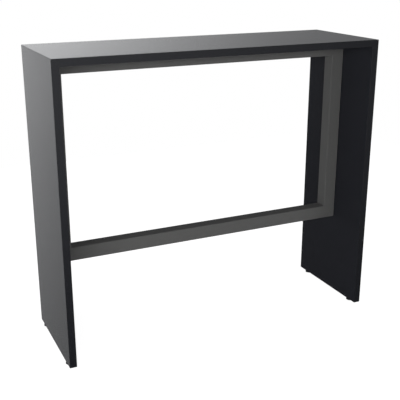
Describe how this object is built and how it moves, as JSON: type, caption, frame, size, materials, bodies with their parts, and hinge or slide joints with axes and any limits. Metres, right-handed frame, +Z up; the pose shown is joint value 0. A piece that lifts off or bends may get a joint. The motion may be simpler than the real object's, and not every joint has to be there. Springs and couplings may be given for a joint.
{
  "type": "bar table",
  "caption": "Slim bar-height table: dark boards mitred into an upside-down U, a square-tube ring inside it whose lower tube is a foot rail, and round levelling feet.",
  "frame": {"origin": "on the floor under the middle of the table", "axes": "+Z up, +X to the right along the table's length, front towards -Y"},
  "size_m": [1.203, 0.4, 1.05],
  "materials": {
    "black_board": "satin black melamine on particle board",
    "black_edge_band": "satin black plastic edge band",
    "grey_powder_coat": "fine matt dark grey powder coat",
    "zinc_steel": "zinc-plated steel",
    "birch_plywood": "plain birch plywood",
    "foot_plastic": "matt black moulded plastic"
  },
  "bodies": {
    "table": {"top_board": "black_board", "left_side_board": "black_board", "right_side_board": "black_board", "top_front_edge_band": "black_edge_band", "top_back_edge_band": "black_edge_band", "left_front_edge_band": "black_edge_band", "left_back_edge_band": "black_edge_band", "left_bottom_edge_band": "black_edge_band", "right_front_edge_band": "black_edge_band", "right_back_edge_band": "black_edge_band", "right_bottom_edge_band": "black_edge_band", "frame_top_rail": "grey_powder_coat", "frame_foot_rail": "grey_powder_coat", "frame_left_upright": "grey_powder_coat", "frame_right_upright": "grey_powder_coat", "left_mitre_spline": "birch_plywood", "left_foot_sleeves": "zinc_steel", "right_mitre_spline": "birch_plywood", "right_foot_sleeves": "zinc_steel", "top_fixing_lugs": "grey_powder_coat", "top_lug_screws": "zinc_steel", "left_fixing_lugs": "grey_powder_coat", "left_lug_screws": "zinc_steel", "right_fixing_lugs": "grey_powder_coat", "right_lug_screws": "zinc_steel"},
    "front_left_foot": {"front_left_foot_pad": "foot_plastic"},
    "front_left_foot_screw": {"front_left_foot_stem": "zinc_steel"},
    "back_left_foot": {"back_left_foot_pad": "foot_plastic"},
    "back_left_foot_screw": {"back_left_foot_stem": "zinc_steel"},
    "front_right_foot": {"front_right_foot_pad": "foot_plastic"},
    "front_right_foot_screw": {"front_right_foot_stem": "zinc_steel"},
    "back_right_foot": {"back_right_foot_pad": "foot_plastic"},
    "back_right_foot_screw": {"back_right_foot_stem": "zinc_steel"}
  },
  "joints": [
    {"name": "front_left_foot_height", "type": "slide", "parent": "table", "child": "front_left_foot", "axis": [0, 0, -1], "range_m": [0, 0.012]},
    {"name": "front_left_foot_turn", "type": "hinge", "parent": "front_left_foot", "child": "front_left_foot_screw", "pos_m": [-0.5875, -0.152, 0], "axis": [0, 0, -1], "range_deg": [0, 3457]},
    {"name": "back_left_foot_height", "type": "slide", "parent": "table", "child": "back_left_foot", "axis": [0, 0, -1], "range_m": [0, 0.012]},
    {"name": "back_left_foot_turn", "type": "hinge", "parent": "back_left_foot", "child": "back_left_foot_screw", "pos_m": [-0.5875, 0.152, 0], "axis": [0, 0, -1], "range_deg": [0, 3457]},
    {"name": "front_right_foot_height", "type": "slide", "parent": "table", "child": "front_right_foot", "axis": [0, 0, -1], "range_m": [0, 0.012]},
    {"name": "front_right_foot_turn", "type": "hinge", "parent": "front_right_foot", "child": "front_right_foot_screw", "pos_m": [0.5875, -0.152, 0], "axis": [0, 0, -1], "range_deg": [0, 3457]},
    {"name": "back_right_foot_height", "type": "slide", "parent": "table", "child": "back_right_foot", "axis": [0, 0, -1], "range_m": [0, 0.012]},
    {"name": "back_right_foot_turn", "type": "hinge", "parent": "back_right_foot", "child": "back_right_foot_screw", "pos_m": [0.5875, 0.152, 0], "axis": [0, 0, -1], "range_deg": [0, 3457]}
  ],
  "couplings": [
    {"joint": "front_left_foot_turn", "follows": "front_left_foot_height", "rad_per_m": 5026.5},
    {"joint": "back_left_foot_turn", "follows": "back_left_foot_height", "rad_per_m": 5026.5},
    {"joint": "front_right_foot_turn", "follows": "front_right_foot_height", "rad_per_m": 5026.5},
    {"joint": "back_right_foot_turn", "follows": "back_right_foot_height", "rad_per_m": 5026.5}
  ]
}
